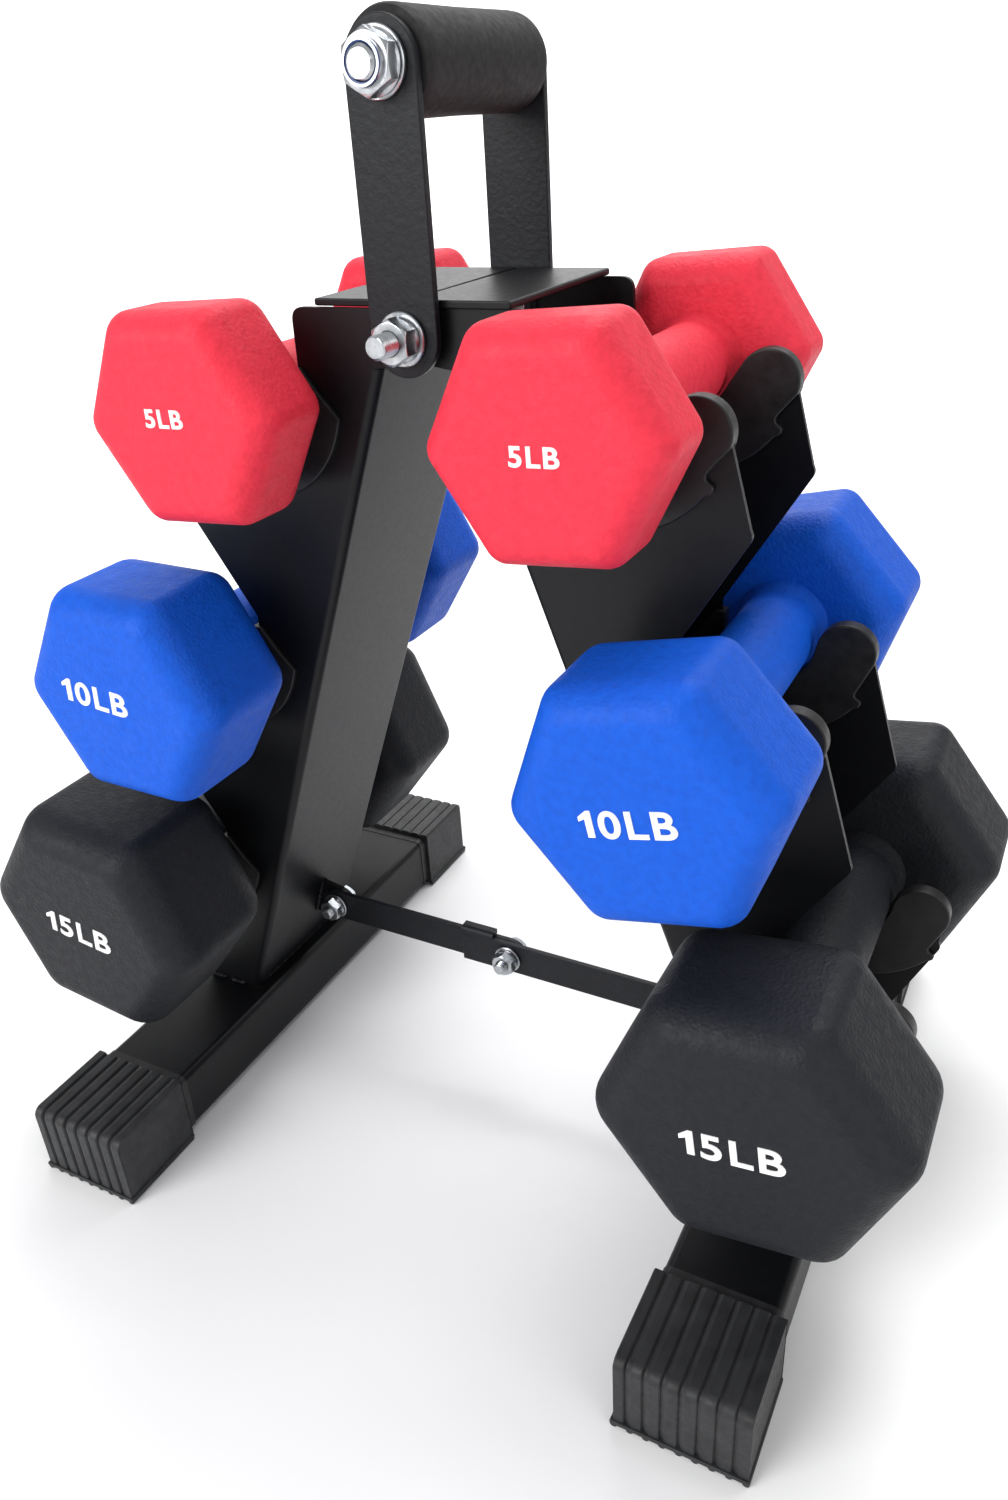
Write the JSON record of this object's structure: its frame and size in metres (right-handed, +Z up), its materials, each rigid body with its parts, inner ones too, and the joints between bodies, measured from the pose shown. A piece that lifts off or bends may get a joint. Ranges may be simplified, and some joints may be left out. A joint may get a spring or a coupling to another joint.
{
  "type": "dumbbell rack",
  "caption": "Folding A-frame dumbbell rack with a carry handle and hexagonal coated dumbbells lying in its lined saddles.",
  "frame": {"origin": "on the floor under the middle of the rack", "axes": "+Z up, +X to the right, +Y to the rear, along the hinge and the dumbbells' grips"},
  "size_m": [0.396, 0.301, 0.4403],
  "materials": {
    "powder_coat": "satin black powder coat, finely textured on the straps",
    "zinc": "bright zinc plate",
    "rubber": "matt dark grey moulded rubber",
    "liner": "smooth black moulded plastic",
    "foam": "closed-cell foam sleeve, matt black",
    "red_neoprene": "cast iron in a matt red neoprene coat, fine pebble texture",
    "blue_neoprene": "cast iron in a matt blue neoprene coat, fine pebble texture",
    "black_neoprene": "cast iron in a matt black neoprene coat, fine pebble texture"
  },
  "bodies": {
    "left_leg": {"left_leg_channel": "powder_coat", "left_top_plate": "powder_coat", "left_base_tube": "powder_coat", "left_end_cap_front": "rubber", "left_end_cap_rear": "rubber", "left_saddle_liner_1_front": "liner", "left_saddle_liner_1_rear": "liner", "left_saddle_liner_2_front": "liner", "left_saddle_liner_2_rear": "liner", "left_saddle_liner_3_front": "liner", "left_saddle_liner_3_rear": "liner", "brace_lug_left": "powder_coat", "brace_left_bolt": "zinc", "brace_left_washer": "zinc", "brace_left_nut": "zinc", "hinge_bolt_front": "zinc", "hinge_washer_front": "zinc", "hinge_nut_front": "zinc", "hinge_bolt_rear": "zinc", "hinge_washer_rear": "zinc", "hinge_nut_rear": "zinc"},
    "right_leg": {"right_leg_channel": "powder_coat", "right_top_plate": "powder_coat", "right_base_tube": "powder_coat", "right_end_cap_front": "rubber", "right_end_cap_rear": "rubber", "right_saddle_liner_1_front": "liner", "right_saddle_liner_1_rear": "liner", "right_saddle_liner_2_front": "liner", "right_saddle_liner_2_rear": "liner", "right_saddle_liner_3_front": "liner", "right_saddle_liner_3_rear": "liner", "brace_lug_right": "powder_coat", "brace_right_bolt": "zinc", "brace_right_washer": "zinc", "brace_right_nut": "zinc"},
    "handle": {"handle_strap_front": "powder_coat", "handle_strap_rear": "powder_coat", "handle_foam_grip": "foam", "handle_grip_tube": "zinc", "grip_bolt": "zinc", "grip_washer": "zinc", "grip_washer_rear": "zinc", "grip_nut": "zinc"},
    "left_bar": {"brace_bar_left": "powder_coat", "brace_middle_bolt": "zinc"},
    "right_bar": {"brace_bar_right": "powder_coat", "brace_middle_stud": "zinc", "brace_middle_washer": "zinc", "brace_middle_nut": "zinc"},
    "left_dumbbell_5": {"left_dumbbell_5lb": "red_neoprene"},
    "left_dumbbell_10": {"left_dumbbell_10lb": "blue_neoprene"},
    "left_dumbbell_15": {"left_dumbbell_15lb": "black_neoprene"},
    "right_dumbbell_5": {"right_dumbbell_5lb": "red_neoprene"},
    "right_dumbbell_10": {"right_dumbbell_10lb": "blue_neoprene"},
    "right_dumbbell_15": {"right_dumbbell_15lb": "black_neoprene"}
  },
  "joints": [
    {"name": "leg_fold", "type": "hinge", "parent": "left_leg", "child": "right_leg", "pos_m": [0, 0, 0.348], "axis": [0, 1, 0], "range_deg": [0, 35]},
    {"name": "handle_swing", "type": "hinge", "parent": "left_leg", "child": "handle", "pos_m": [0, 0, 0.348], "axis": [0, 1, 0], "range_deg": [-65, 65]},
    {"name": "left_bar_fold", "type": "hinge", "parent": "left_leg", "child": "left_bar", "pos_m": [-0.099, 0, 0.064], "axis": [0, -1, 0], "range_deg": [0, 67.4]},
    {"name": "right_bar_fold", "type": "hinge", "parent": "right_leg", "child": "right_bar", "pos_m": [0.099, 0, 0.064], "axis": [0, 1, 0], "range_deg": [0, 67.4]},
    {"name": "left_5_lift_out", "type": "hinge", "parent": "left_leg", "child": "left_dumbbell_5", "pos_m": [-0.0978, 0, 0.3227], "axis": [0, -1, 0], "range_deg": [0, 145]},
    {"name": "left_10_lift_out", "type": "hinge", "parent": "left_leg", "child": "left_dumbbell_10", "pos_m": [-0.1331, 0, 0.2242], "axis": [0, -1, 0], "range_deg": [0, 145]},
    {"name": "left_15_lift_out", "type": "hinge", "parent": "left_leg", "child": "left_dumbbell_15", "pos_m": [-0.1729, 0, 0.1137], "axis": [0, -1, 0], "range_deg": [0, 145]},
    {"name": "right_5_lift_out", "type": "hinge", "parent": "right_leg", "child": "right_dumbbell_5", "pos_m": [0.0978, 0, 0.3227], "axis": [0, 1, 0], "range_deg": [0, 145]},
    {"name": "right_10_lift_out", "type": "hinge", "parent": "right_leg", "child": "right_dumbbell_10", "pos_m": [0.1331, 0, 0.2242], "axis": [0, 1, 0], "range_deg": [0, 145]},
    {"name": "right_15_lift_out", "type": "hinge", "parent": "right_leg", "child": "right_dumbbell_15", "pos_m": [0.1729, 0, 0.1137], "axis": [0, 1, 0], "range_deg": [0, 145]}
  ],
  "couplings": [
    {"joint": "left_bar_fold", "follows": "leg_fold", "ratio": 1.9221},
    {"joint": "right_bar_fold", "follows": "leg_fold", "ratio": 1.9221}
  ]
}
